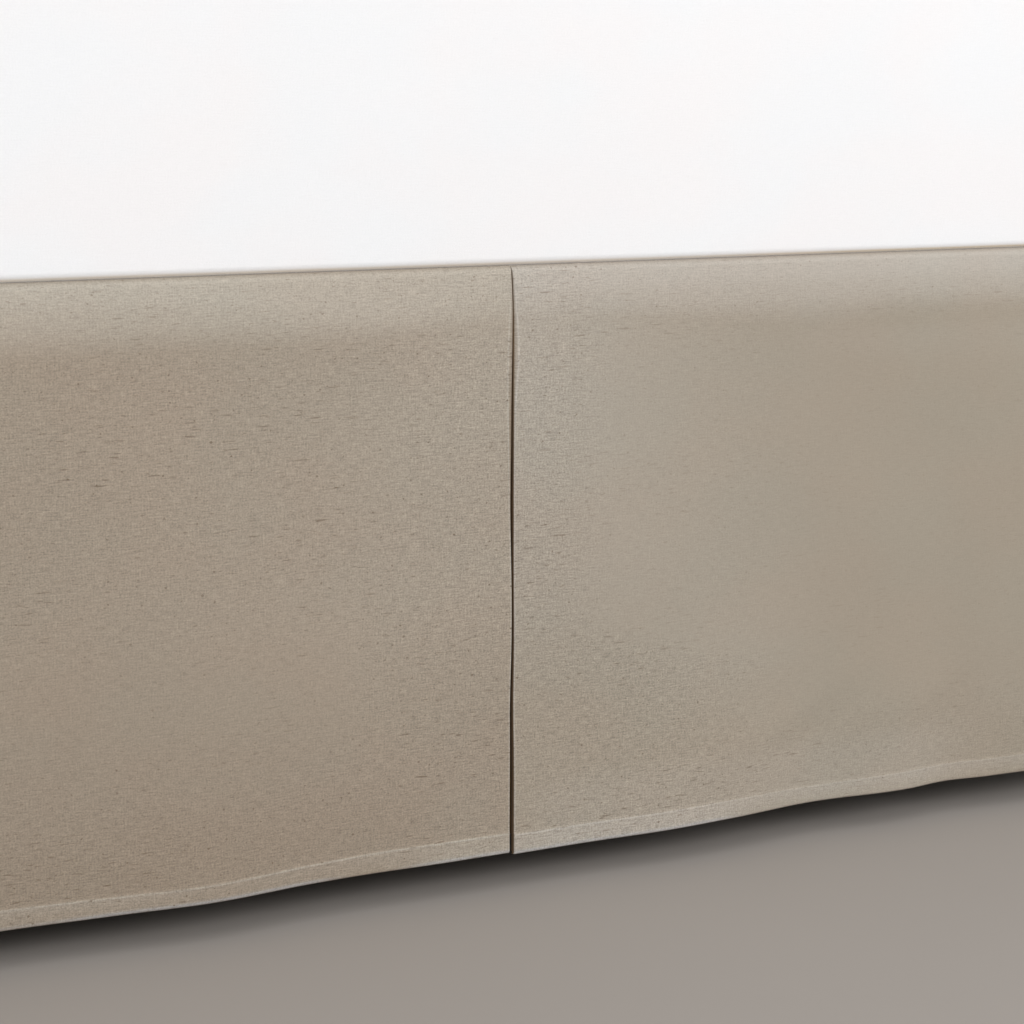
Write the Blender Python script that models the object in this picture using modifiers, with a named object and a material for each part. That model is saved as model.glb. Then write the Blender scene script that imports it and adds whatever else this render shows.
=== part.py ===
"""A tailored bed skirt on a queen bed: deck, face panels with split pleats, underlays, and the plain bed
that they hang from. Metres, +Z up, floor at z = 0. The bed lies along X with its foot towards -X."""

import math
from collections import namedtuple

import bmesh
import bpy
from mathutils import Matrix, Vector

# The bed.
BED_LENGTH = 2.032
BED_WIDTH = 1.524
BOX_TOP = 0.406  # floor to the top of the box spring
BOX_DEPTH = 0.229
BOX_CORNER = 0.040  # rounding of its upright corners
BOX_EDGE = 0.024  # rounding of its top and bottom edges
MATTRESS_DEPTH = 0.254
MATTRESS_OVERHANG = 0.0015  # how far its sides stand out from the box spring's
MATTRESS_CORNER = 0.070
MATTRESS_TOP_EDGE = 0.035
MATTRESS_BOTTOM_EDGE = 0.004

# The cloth, and how its layers lie over the box spring.
CLOTH = 0.0012
SPACE = 0.0003  # between pieces that touch
EDGE_CLEAR = 0.003  # between the innermost cloth and the box spring's side
DECK_THICKNESS = 0.003
DECK_INSET = 0.036
FLANGE_REACH = 0.060  # how far a panel reaches in under the mattress
LEAN = math.radians(9)  # how far the cloth leans in where it reaches the roll under the mattress
EASE_RADIUS = 0.220  # of the slow curve in which it starts to lean
ROLL_RADIUS = 0.006  # outer radius of the roll over the box spring's edge
HEM_HEIGHT = 0.025  # floor to the bottom of the panels
HEM_DEPTH = 0.0127
HEM_GAP = 0.0008  # inside the turned hem
FLARE = 0.004  # how far the skirt stands out at its hem

# The split pleats and the corners.
SLIT_TOP = 0.0012  # gap between two panels at the roll
SLIT_HEM = 0.0032
FOLD_GAP_TOP = 0.0007  # between a panel and its turned-back edge
FOLD_GAP_HEM = 0.0024
RETURN = 0.050  # width of the turned-back edge
UNDERLAY_WIDTH = 0.150
UNDERLAY_LIFT = 0.011  # how much higher an underlay ends
MITRE_GAP = 0.0016  # along each side, where two panels meet over a corner

# The facets.
COLUMN_PITCH = 0.036
FOLD_STEPS = 3
EASE_STEPS = 3
ROLL_STEPS = 3
DROP_STEPS = 5
CORNER_STEPS = 6
EDGE_STEPS = 4
LEG_SIDES = 24
SMOOTH_UP_TO = math.radians(40)

# The folds that each side's panels hang in at the hem, in metres, and how they grow down the drop.
# position: along the side; half_width: where the fold dies out; depth: how far it stands out, or in.
SWAY_POWER = 1.6
Fold = namedtuple("Fold", "position half_width depth")
FRONT_FOLDS = (
    Fold(-0.900, 0.100, -0.0040),
    Fold(-0.740, 0.100, 0.0050),
    Fold(-0.580, 0.090, -0.0045),
    Fold(-0.460, 0.080, 0.0045),
    Fold(-0.350, 0.090, -0.0048),
    Fold(-0.212, 0.070, 0.0048),
    Fold(-0.108, 0.068, -0.0019),
    Fold(0.124, 0.080, 0.0031),
    Fold(0.245, 0.070, -0.0052),
    Fold(0.360, 0.040, -0.0040),
    Fold(0.455, 0.065, 0.0030),
    Fold(0.600, 0.090, -0.0050),
    Fold(0.760, 0.100, 0.0050),
    Fold(0.900, 0.090, -0.0035),
)
BACK_FOLDS = (
    Fold(-0.880, 0.110, 0.0045),
    Fold(-0.700, 0.090, -0.0050),
    Fold(-0.540, 0.100, 0.0050),
    Fold(-0.370, 0.080, -0.0040),
    Fold(-0.230, 0.090, 0.0055),
    Fold(-0.090, 0.070, -0.0040),
    Fold(0.120, 0.090, 0.0050),
    Fold(0.290, 0.090, -0.0050),
    Fold(0.430, 0.080, 0.0040),
    Fold(0.600, 0.100, -0.0045),
    Fold(0.780, 0.100, 0.0050),
    Fold(0.920, 0.070, -0.0030),
)
FOOT_FOLDS = (
    Fold(-0.640, 0.090, 0.0040),
    Fold(-0.480, 0.090, -0.0050),
    Fold(-0.330, 0.080, 0.0050),
    Fold(-0.170, 0.080, -0.0045),
    Fold(0.110, 0.085, 0.0050),
    Fold(0.280, 0.090, -0.0050),
    Fold(0.430, 0.080, 0.0045),
    Fold(0.590, 0.085, -0.0040),
)

# The steel frame.
RAIL_WIDTH = 0.040
RAIL_HEIGHT = 0.035
RAIL_INSET = 0.080  # from the box spring's side to the rail's outer side
RAIL_EDGE = 0.002
CROSS_RAILS = 2
LEG_RADIUS = 0.016
CAP_RADIUS = 0.024
CAP_HEIGHT = 0.014
LEG_STATIONS = (-0.800, 0.0, 0.800)  # along X

# Sizes and places that follow from these.
HALF_LENGTH = BED_LENGTH / 2
HALF_WIDTH = BED_WIDTH / 2
LAYERS = 3 * CLOTH + SPACE + FOLD_GAP_TOP  # underlay, turned-back edge and panel
SIDE_OUT = EDGE_CLEAR + LAYERS  # a panel's face, from the box spring's side
TOP_UP = SPACE + LAYERS  # a panel's top, from the box spring's top
UNDERLAY_DEPTH = LAYERS - CLOTH  # an underlay's face, in from the panel's face
OPENING = FOLD_GAP_HEM - FOLD_GAP_TOP  # how much the turned-back edge stands off more at the hem
ROLL_UP = TOP_UP - ROLL_RADIUS  # the roll's centre, from the box spring's edge
EASE_UP = ROLL_UP - (EASE_RADIUS - ROLL_RADIUS) * math.sin(LEAN)  # where the cloth starts to lean
EASE_OUT = SIDE_OUT - EASE_RADIUS  # the slow curve's centre
ROLL_OUT = EASE_OUT + (EASE_RADIUS - ROLL_RADIUS) * math.cos(LEAN)
HEM_ROLL = CLOTH + HEM_GAP / 2  # outer radius of the hem's fold
DROP = EASE_UP + BOX_TOP - HEM_HEIGHT - HEM_ROLL  # from where the cloth hangs plumb down to the hem's fold
FOOT_OVERHANG = SIDE_OUT + FLARE + OPENING
RAIL_TOP = BOX_TOP - BOX_DEPTH - SPACE

# A level of a hanging cloth: where its face is from the box spring's top edge, outwards and up; the way it
# faces, as an angle above level; its share of the drop; how deep the level lies behind the face; its part.
Row = namedtuple("Row", "out up tilt drop depth part")
# An upright line of a panel: the end it is measured from, how far from it, and its turn in that end's fold.
Column = namedtuple("Column", "end back turn")


def make_material(name, colour, roughness, metallic=0.0):
    material = bpy.data.materials.new(name)
    material.use_nodes = True
    shader = material.node_tree.nodes["Principled BSDF"]
    shader.inputs["Base Color"].default_value = (*colour, 1.0)
    shader.inputs["Roughness"].default_value = roughness
    shader.inputs["Metallic"].default_value = metallic
    material.diffuse_color = (*colour, 1.0)
    return material


def add_object(name, shape, material, turn=0.0):
    """Makes a named object of a bmesh, in the part's collection and under the bed's empty, turned about the
    upright axis."""
    mesh = bpy.data.meshes.new(name)
    shape.to_mesh(mesh)
    shape.free()
    mesh.materials.append(material)
    piece = bpy.data.objects.new(name, mesh)
    piece.parent = BED
    piece.rotation_euler.z = turn
    PART.objects.link(piece)
    return piece


def block(size, centre):
    shape = bmesh.new()
    bmesh.ops.create_cube(shape, size=1.0, matrix=Matrix.Translation(centre) @ Matrix.Diagonal((*size, 1.0)))
    return shape


def round_edges(shape, edges, radius, steps):
    bmesh.ops.bevel(shape, geom=edges, offset=radius, segments=steps, profile=0.5, affect="EDGES")


def soft_block(name, size, centre, corner, top_edge, bottom_edge, material):
    """A filled block with its upright corners, then its top and bottom edges, rounded."""
    shape = block(size, centre)
    upright = [edge for edge in shape.edges if abs(edge.verts[0].co.z - edge.verts[1].co.z) > size[2] / 2]
    round_edges(shape, upright, corner, CORNER_STEPS)
    for side, radius in ((1, top_edge), (-1, bottom_edge)):
        rim = [edge for edge in shape.edges if all(side * (end.co.z - centre[2]) > 0 for end in edge.verts)]
        round_edges(shape, rim, radius, EDGE_STEPS)
    add_object(name, shape, material).data.shade_smooth()


def rail(name, size, centre, material):
    """A closed length of rectangular tube."""
    rounding = add_object(name, block(size, centre), material).modifiers.new("rounding", "BEVEL")
    rounding.width = RAIL_EDGE
    rounding.segments = 2


def post(name, radius, bottom, top, spot, material):
    """An upright round post."""
    shape = bmesh.new()
    bmesh.ops.create_cone(
        shape,
        cap_ends=True,
        segments=LEG_SIDES,
        radius1=radius,
        radius2=radius,
        depth=top - bottom,
        matrix=Matrix.Translation((*spot, (bottom + top) / 2)),
    )
    mesh = add_object(name, shape, material).data
    mesh.shade_smooth()
    mesh.set_sharp_from_angle(angle=SMOOTH_UP_TO)


def sway(folds, along, drop):
    """How far a side's cloth stands out at this place: each fold is a raised cosine, growing down the drop."""
    out = sum(
        fold.depth * (1 + math.cos(math.pi * (along - fold.position) / fold.half_width)) / 2
        for fold in folds
        if abs(along - fold.position) < fold.half_width
    )
    return FLARE * drop + out * drop**SWAY_POWER


def cloth_rows(layer, lift, reach):
    """The profile of a hanging cloth, from the top of its turned-up hem down round the fold, up the drop, in
    its slow curve and its roll over the box spring's edge, and in under the mattress as far as reach. layer is
    how far its face lies in from a panel's face, and lift how much higher it ends."""
    end = 1 - lift / DROP
    fold_up = EASE_UP - end * DROP
    rows = [Row(SIDE_OUT, fold_up - HEM_ROLL + HEM_DEPTH, 0.0, end, 2 * HEM_ROLL, "hem")]
    for step in range(FOLD_STEPS):
        turn = math.pi * (1 - step / FOLD_STEPS)
        up = fold_up - HEM_ROLL * math.sin(turn)
        rows.append(Row(SIDE_OUT, up, 0.0, end, HEM_ROLL * (1 - math.cos(turn)), "hem"))
    for step in range(DROP_STEPS):
        drop = min(end, 1 - step / DROP_STEPS)
        rows.append(Row(SIDE_OUT, EASE_UP - drop * DROP, 0.0, drop, 0.0, "drop"))
    for step in range(EASE_STEPS):
        tilt = LEAN * step / EASE_STEPS
        out, up = EASE_OUT + EASE_RADIUS * math.cos(tilt), EASE_UP + EASE_RADIUS * math.sin(tilt)
        rows.append(Row(out, up, tilt, 0.0, 0.0, "ease"))
    for step in range(ROLL_STEPS + 1):
        tilt = LEAN + (math.pi / 2 - LEAN) * step / ROLL_STEPS
        out, up = ROLL_OUT + ROLL_RADIUS * math.cos(tilt), ROLL_UP + ROLL_RADIUS * math.sin(tilt)
        rows.append(Row(out, up, tilt, 0.0, 0.0, "roll"))
    for flange in (DECK_INSET - SPACE, FLANGE_REACH):
        if flange <= reach:
            rows.append(Row(-flange, TOP_UP, math.pi / 2, 0.0, 0.0, "flange"))
    return [row._replace(depth=row.depth + layer) for row in rows]


def place_on_side(folds, half_depth, row, along, depth):
    """The point at this row and place along the front side, depth behind the face."""
    out = row.out + sway(folds, along, row.drop) + OPENING * row.drop
    depth += row.depth
    out -= depth * math.cos(row.tilt)
    return Vector((along, -(half_depth + out), BOX_TOP + row.up - depth * math.sin(row.tilt)))


def sheet(name, columns, rows, place, keep, turn, material):
    """A grid of columns and rows, each point where place() puts it, without the cells that keep() drops,
    thickened inwards."""
    shape = bmesh.new()
    bmesh.ops.create_grid(shape, x_segments=columns - 1, y_segments=rows - 1, size=0.5)

    def index(vertex):
        return round((vertex.co.x + 0.5) * (columns - 1)), round((vertex.co.y + 0.5) * (rows - 1))

    dropped = [face for face in shape.faces if not keep(*min(index(vertex) for vertex in face.verts))]
    for vertex in shape.verts:
        vertex.co = place(*index(vertex))
    bmesh.ops.delete(shape, geom=dropped, context="FACES")
    piece = add_object(name, shape, material, turn)
    piece.data.shade_smooth()
    thickness = piece.modifiers.new("cloth", "SOLIDIFY")
    thickness.thickness = CLOTH
    thickness.offset = -1.0
    thickness.use_even_offset = True


def panel_columns(inner):
    """The columns of a panel: its turned-back edge and fold, its face, and the same at its other end. inner
    is the face's length between the two turned-back edges."""
    pitches = round(inner / COLUMN_PITCH)
    turns = [math.pi * step / FOLD_STEPS for step in range(1, FOLD_STEPS + 1)]
    left = [Column(0, RETURN, math.pi)] + [Column(0, 0.0, turn) for turn in reversed(turns)]
    face = [Column(0, 0.0, 0.0)]
    face += [Column(0, RETURN + inner * step / pitches, 0.0) for step in range(pitches)]
    face += [Column(1, RETURN, 0.0), Column(1, 0.0, 0.0)]
    right = [Column(1, 0.0, turn) for turn in turns] + [Column(1, RETURN, math.pi)]
    return left + face + right


def panel(name, folds, half_depth, ends, end_kinds, turn, material):
    """A face panel between two ends. An end of kind slit or head is turned back over the whole height, and
    one of kind corner only along the drop, above which its edge closes in to a mitre over the corner."""
    rows = cloth_rows(0.0, 0.0, FLANGE_REACH)
    inner = ends[1] - ends[0] - 2 * RETURN
    columns = panel_columns(inner)
    face_cells = range(FOLD_STEPS + 1, len(columns) - FOLD_STEPS - 2)

    def fold_radius(row):
        return CLOTH + (FOLD_GAP_TOP + OPENING * row.drop) / 2

    def fold_start(end, row):
        """Where the end's fold begins on this row."""
        sign, kind, radius = (-1, 1)[end], end_kinds[end], fold_radius(row)
        if kind == "slit":
            return ends[end] - sign * ((SLIT_TOP + (SLIT_HEM - SLIT_TOP) * row.drop) / 2 + radius)
        if kind == "head":
            return ends[end] - sign * radius
        layers = 3 * radius * (1 - min(1.0, row.tilt / LEAN))
        return ends[end] + sign * (row.out + (FLARE + OPENING) * row.drop - layers - MITRE_GAP)

    def place(column, row):
        column, row = columns[column], rows[row]
        if column.turn == 0.0 and column.back > RETURN:
            share = (column.back - RETURN) / inner
            along = (fold_start(0, row) + RETURN) * (1 - share) + (fold_start(1, row) - RETURN) * share
            return place_on_side(folds, half_depth, row, along, 0.0)
        sign, radius = (-1, 1)[column.end], fold_radius(row)
        along = fold_start(column.end, row) - sign * column.back
        point = place_on_side(folds, half_depth, row, along, radius * (1 - math.cos(column.turn)))
        point.x += sign * radius * math.sin(column.turn)
        return point

    def keep(column, row):
        if column in face_cells:
            return True
        if rows[row].part == "hem":
            return False
        if end_kinds[column >= face_cells.stop] == "corner":
            return rows[row].drop > 0
        return rows[row + 1].out > -FLANGE_REACH

    sheet(name, len(columns), len(rows), place, keep, turn, material)


def underlay(name, folds, half_depth, turn, material):
    """The narrow backing behind a slit, between the turned-back edges and the box spring."""
    rows = cloth_rows(UNDERLAY_DEPTH, UNDERLAY_LIFT, DECK_INSET)
    fold = SLIT_TOP / 2 + CLOTH + FOLD_GAP_TOP / 2
    right = [fold, fold + RETURN, UNDERLAY_WIDTH / 2]
    columns = [-along for along in reversed(right)] + right

    def place(column, row):
        row = rows[row]
        return place_on_side(folds, half_depth, row, columns[column], OPENING * row.drop)

    sheet(name, len(columns), len(rows), place, lambda column, row: True, turn, material)


def skirt_side(side, folds, half_depth, half_length, end_kinds, turn, material):
    """Both panels of one side of the bed, and the underlay behind their slit."""
    left, right = (-half_length, 0.0), (0.0, half_length)
    panel(f"{side}_panel_left", folds, half_depth, left, (end_kinds[0], "slit"), turn, material)
    panel(f"{side}_panel_right", folds, half_depth, right, ("slit", end_kinds[1]), turn, material)
    underlay(f"{side}_underlay", folds, half_depth, turn, material)


def bed_skirt():
    """Three sides, with the head of the bed left open, and the deck that holds them together."""
    linen = make_material("greige_linen", (0.36, 0.31, 0.25), 0.9)
    skirt_side("front", FRONT_FOLDS, HALF_WIDTH, HALF_LENGTH, ("corner", "head"), 0.0, linen)
    skirt_side("back", BACK_FOLDS, HALF_WIDTH, HALF_LENGTH, ("head", "corner"), math.pi, linen)
    skirt_side("foot", FOOT_FOLDS, HALF_LENGTH, HALF_WIDTH, ("corner", "corner"), -math.pi / 2, linen)
    size = (BED_LENGTH - DECK_INSET, BED_WIDTH - 2 * DECK_INSET, DECK_THICKNESS)
    centre = (DECK_INSET / 2, 0.0, BOX_TOP + SPACE + DECK_THICKNESS / 2)
    add_object("deck", block(size, centre), make_material("deck_cotton", (0.74, 0.71, 0.66), 0.9))


def bed():
    """The box spring and the mattress."""
    soft_block(
        "box_spring",
        (BED_LENGTH, BED_WIDTH, BOX_DEPTH),
        (0.0, 0.0, BOX_TOP - BOX_DEPTH / 2),
        BOX_CORNER,
        BOX_EDGE,
        BOX_EDGE,
        make_material("box_spring_cloth", (0.72, 0.70, 0.67), 0.85),
    )
    soft_block(
        "mattress",
        (BED_LENGTH + 2 * MATTRESS_OVERHANG, BED_WIDTH + 2 * MATTRESS_OVERHANG, MATTRESS_DEPTH),
        (0.0, 0.0, BOX_TOP + TOP_UP + SPACE + MATTRESS_DEPTH / 2),
        MATTRESS_CORNER,
        MATTRESS_TOP_EDGE,
        MATTRESS_BOTTOM_EDGE,
        make_material("mattress_cover", (0.86, 0.86, 0.86), 0.8),
    )


def frame():
    """Two side rails on legs with floor caps, and the rails that cross between them."""
    steel = make_material("black_steel", (0.02, 0.02, 0.02), 0.45, 0.3)
    plastic = make_material("cap_plastic", (0.03, 0.03, 0.03), 0.6)
    rail_z = RAIL_TOP - RAIL_HEIGHT / 2
    rail_y = HALF_WIDTH - RAIL_INSET - RAIL_WIDTH / 2
    rail_x = HALF_LENGTH - RAIL_INSET - RAIL_WIDTH / 2
    leg_top = RAIL_TOP - RAIL_HEIGHT - SPACE
    for side, sign in (("front", -1), ("back", 1)):
        side_size = (2 * rail_x + RAIL_WIDTH, RAIL_WIDTH, RAIL_HEIGHT)
        rail(f"rail_{side}", side_size, (0.0, sign * rail_y, rail_z), steel)
        for number, x in enumerate(LEG_STATIONS, 1):
            spot = (x, sign * rail_y)
            post(f"leg_{side}_{number}", LEG_RADIUS, CAP_HEIGHT + SPACE, leg_top, spot, steel)
            post(f"cap_{side}_{number}", CAP_RADIUS, 0.0, CAP_HEIGHT, spot, plastic)
    crossing = {"foot": -rail_x, "head": rail_x}
    for number in range(1, CROSS_RAILS + 1):
        crossing[f"cross_{number}"] = rail_x * (2 * number / (CROSS_RAILS + 1) - 1)
    cross_size = (RAIL_WIDTH, 2 * rail_y - RAIL_WIDTH - 2 * SPACE, RAIL_HEIGHT)
    for place, x in crossing.items():
        rail(f"rail_{place}", cross_size, (x, 0.0, rail_z), steel)


for leftover in list(bpy.data.objects):
    bpy.data.objects.remove(leftover, do_unlink=True)
PART = bpy.data.collections.new("bed_skirt_on_bed")
bpy.context.scene.collection.children.link(PART)
# The bed's empty stands half the foot's overhang off centre, so that the whole part is centred.
BED = bpy.data.objects.new("bed", None)
BED.location.x = FOOT_OVERHANG / 2
PART.objects.link(BED)
bed_skirt()
bed()
frame()
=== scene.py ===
"""A tailored bed skirt on a queen bed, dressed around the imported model. Metres, +Z up, floor at z = 0.
The bed lies along X with its foot towards -X, and its front side faces -Y."""

import math
from collections import namedtuple

import bpy
import numpy as np
from mathutils import Matrix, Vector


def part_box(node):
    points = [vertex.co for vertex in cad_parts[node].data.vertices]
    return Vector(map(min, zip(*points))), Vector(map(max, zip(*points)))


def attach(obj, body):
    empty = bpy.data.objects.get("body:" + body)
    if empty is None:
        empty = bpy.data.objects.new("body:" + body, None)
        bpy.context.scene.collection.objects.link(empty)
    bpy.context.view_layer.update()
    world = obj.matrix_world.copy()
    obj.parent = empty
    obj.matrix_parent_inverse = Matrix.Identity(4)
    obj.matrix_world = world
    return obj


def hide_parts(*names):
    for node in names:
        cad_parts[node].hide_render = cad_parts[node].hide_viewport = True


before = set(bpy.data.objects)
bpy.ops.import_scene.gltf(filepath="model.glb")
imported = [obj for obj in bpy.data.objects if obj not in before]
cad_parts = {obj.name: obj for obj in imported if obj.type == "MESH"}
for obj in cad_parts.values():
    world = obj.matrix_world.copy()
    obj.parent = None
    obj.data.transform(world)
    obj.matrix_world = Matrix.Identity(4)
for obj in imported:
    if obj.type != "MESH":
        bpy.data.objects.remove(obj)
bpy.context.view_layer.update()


# ---- The steel frame -----------------------------------------------------------------------------
# Two side rails of rectangular steel tube on six round legs, with four rails across, welded and powder
# coated in satin black. Each leg stands in a moulded plastic cap that keeps it from marking the floor.


def shader_node(tree, kind, inputs=(), **settings):
    """Adds a shader node, makes its settings, and sets or links the inputs given by name or number."""
    made = tree.nodes.new("ShaderNode" + kind)
    for name, value in settings.items():
        setattr(made, name, value)
    for socket, value in dict(inputs).items():
        if isinstance(value, bpy.types.NodeSocket):
            tree.links.new(value, made.inputs[socket])
        else:
            made.inputs[socket].default_value = value
    return made


def maths(tree, operation, *values, clamp=False):
    """One step of arithmetic on sockets or numbers."""
    return shader_node(tree, "Math", enumerate(values), operation=operation, use_clamp=clamp).outputs[0]


def noise(tree, vector, scale, detail=0.0, shift=0.0):
    """Noise with its grains drawn out along each axis by the three scales, in grains per metre."""
    place = {"Vector": vector, "Scale": scale, "Location": (shift, shift, shift)}
    mapped = shader_node(tree, "Mapping", place).outputs[0]
    return shader_node(tree, "TexNoise", {"Vector": mapped, "Scale": 1.0, "Detail": detail}).outputs["Fac"]


def ramp(tree, value, low, high):
    """0 below low, 1 above high, and a smooth step between."""
    given = {"Value": value, "From Min": low, "From Max": high}
    return shader_node(tree, "MapRange", given, interpolation_type="SMOOTHSTEP").outputs["Result"]


def scaled(tree, vector, factor):
    """A place or a colour, multiplied by a number."""
    given = {0: vector, "Scale": factor}
    return shader_node(tree, "VectorMath", given, operation="SCALE").outputs[0]


def blend_colours(tree, share, first, second):
    """The first colour where share is 0, and the second where it is 1."""
    return shader_node(tree, "Mix", {0: share, 6: first, 7: second}, data_type="RGBA").outputs[2]


def new_group(name, inputs):
    """An empty node group that puts out a colour, a roughness and a height: its tree, what it is given, and
    its output node."""
    tree = bpy.data.node_groups.new(name, "ShaderNodeTree")
    outputs = {"Colour": "Color", "Roughness": "Float", "Height": "Float"}
    for way, sockets in (("INPUT", inputs), ("OUTPUT", outputs)):
        for socket, kind in sockets.items():
            tree.interface.new_socket(socket, in_out=way, socket_type="NodeSocket" + kind)
    return tree, tree.nodes.new("NodeGroupInput").outputs, tree.nodes.new("NodeGroupOutput")


def new_material(name, roughness, **constants):
    """A material, its tree and its shader, with the values that are the same all over."""
    material = bpy.data.materials.new(name)
    material.use_nodes = True
    tree = material.node_tree
    shader = tree.nodes.get("Principled BSDF")
    shader.inputs["Roughness"].default_value = roughness
    for socket, value in constants.items():
        shader.inputs[socket.replace("_", " ")].default_value = value
    return material, tree, shader


def finish_with(tree, shader, group, values, bump):
    """Places a group in a material and feeds the shader's colour, roughness and bump from it."""
    placed = shader_node(tree, "Group", values, node_tree=group)
    tree.links.new(placed.outputs["Colour"], shader.inputs["Base Color"])
    tree.links.new(placed.outputs["Roughness"], shader.inputs["Roughness"])
    given = {"Height": placed.outputs["Height"], "Distance": bump, "Strength": 1.0}
    raised = shader_node(tree, "Bump", given)
    tree.links.new(raised.outputs["Normal"], shader.inputs["Normal"])


HOUSE_DUST = (0.34, 0.31, 0.28, 1.0)


def coating_group():
    """A sprayed or moulded skin: orange-peel grain, faint clouds, and dust that settles on upward faces."""
    inputs = {"Place": "Vector", "Colour": "Color"}
    inputs.update(dict.fromkeys(("Grains", "Base Roughness", "Dust"), "Float"))
    tree, given, made = new_group("coating", inputs)
    grain = noise(tree, scaled(tree, given["Place"], given["Grains"]), (1.0, 1.0, 1.0), detail=1.0)
    clouds = noise(tree, given["Place"], (9.0, 9.0, 9.0), detail=3.0)
    facing = shader_node(tree, "NewGeometry").outputs["Normal"]
    upward = shader_node(tree, "SeparateXYZ", {0: facing}).outputs["Z"]
    settled = maths(tree, "MULTIPLY", ramp(tree, upward, 0.5, 1.0), ramp(tree, clouds, 0.35, 0.75))
    dusty = maths(tree, "MULTIPLY", settled, given["Dust"])
    uneven = maths(tree, "MULTIPLY_ADD", clouds, 0.35, 0.82)
    colour = blend_colours(tree, dusty, scaled(tree, given["Colour"], uneven), HOUSE_DUST)
    rough = maths(tree, "MULTIPLY_ADD", grain, 0.12, given["Base Roughness"])
    tree.links.new(colour, made.inputs["Colour"])
    tree.links.new(maths(tree, "MULTIPLY_ADD", dusty, 0.4, rough), made.inputs["Roughness"])
    tree.links.new(grain, made.inputs["Height"])
    return tree


COATING = coating_group()


def coated_material(name, colour, roughness, grains, bump, dust):
    """A coated or moulded finish: grains to the metre, how high they stand, and how much dust has
    settled."""
    material, tree, shader = new_material(name, roughness)
    place = shader_node(tree, "TexCoord").outputs["Object"]
    values = {"Place": place, "Colour": colour, "Grains": grains, "Base Roughness": roughness, "Dust": dust}
    finish_with(tree, shader, COATING, values, bump)
    return material


black_coat = coated_material(
    "black_powder_coat", (0.021, 0.021, 0.022, 1.0), roughness=0.40, grains=900.0, bump=0.00012, dust=0.12,
)
black_cap = coated_material(
    "black_cap_plastic", (0.030, 0.030, 0.031, 1.0), roughness=0.56, grains=2200.0, bump=0.00005, dust=0.20,
)
for name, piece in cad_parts.items():
    if name.startswith(("rail_", "leg_", "cap_")):
        finish = black_cap if name.startswith("cap_") else black_coat
        for slot in piece.material_slots:
            slot.material = finish


# ---- The box spring ------------------------------------------------------------------------------
# A timber and wire base, padded and covered in pale ticking: a top, a bottom and a side band, sewn together
# with a welt around each edge.

box_low, box_high = (np.array(corner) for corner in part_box("box_spring"))
BED_CENTRE = (box_low + box_high) / 2
HALF_LENGTH, HALF_WIDTH = (box_high - box_low)[:2] / 2
BOX_TOP = box_high[2]


BARE_YARN = (0.385, 0.380, 0.380, 1.0)  # the pale grey of a painted highlight along the hem's fold
WARMER, COOLER = (1.008, 0.996, 0.988, 1.0), (0.992, 1.004, 1.004, 1.0)  # the two tints of its mottle


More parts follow.
